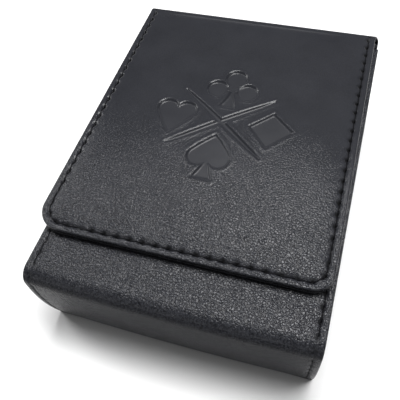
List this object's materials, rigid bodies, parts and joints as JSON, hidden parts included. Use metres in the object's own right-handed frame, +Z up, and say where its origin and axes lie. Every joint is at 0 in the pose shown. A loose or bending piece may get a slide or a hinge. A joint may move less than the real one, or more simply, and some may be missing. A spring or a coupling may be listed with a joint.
{
  "type": "playing card box with drawer",
  "caption": "Leather-covered playing card box: a board sleeve with a sliding card drawer whose padded flap folds over the top, held by magnets.",
  "frame": {"origin": "on the table, in the middle of the flat base, under the middle of the sleeve's width and half way along the whole box", "axes": "+Z up, +Y along the length from the closed end to the mouth where the drawer comes out, +X to the right"},
  "size_m": [0.078, 0.1044, 0.0321],
  "materials": {
    "outer_leather": "black grained coated leather, soft satin",
    "board": "plain grey paper board",
    "tray_board": "black paper-covered board",
    "suede_lining": "black suede-like lining",
    "felt": "black felt",
    "foam": "thin foam pad",
    "magnet": "nickel-plated magnet"
  },
  "bodies": {
    "sleeve": {"base_leather": "outer_leather", "bottom_board": "board", "top_board": "board", "near_end_board": "board", "left_side_board": "board", "right_side_board": "board", "sleeve_leather": "outer_leather", "left_side_leather": "outer_leather", "right_side_leather": "outer_leather", "sleeve_lining": "suede_lining", "sleeve_magnets": "magnet", "drawer_stop": "felt"},
    "drawer": {"drawer_bottom_board": "tray_board", "drawer_left_wall": "tray_board", "drawer_right_wall": "tray_board", "drawer_back_wall": "tray_board", "drawer_front_wall": "tray_board", "drawer_lining": "suede_lining", "front_board": "board", "front_lining": "suede_lining", "front_leather": "outer_leather"},
    "flap": {"flap_board": "board", "flap_foam": "foam", "flap_leather": "outer_leather", "flap_lining": "suede_lining", "flap_magnets": "magnet"}
  },
  "joints": [
    {"name": "drawer_slide", "type": "slide", "parent": "sleeve", "child": "drawer", "axis": [0, 1, 0], "range_m": [0, 0.084]},
    {"name": "flap_hinge", "type": "hinge", "parent": "drawer", "child": "flap", "pos_m": [-0.0018, 0.0518, 0.0308], "axis": [-1, 0, 0], "range_deg": [0, 180]}
  ]
}
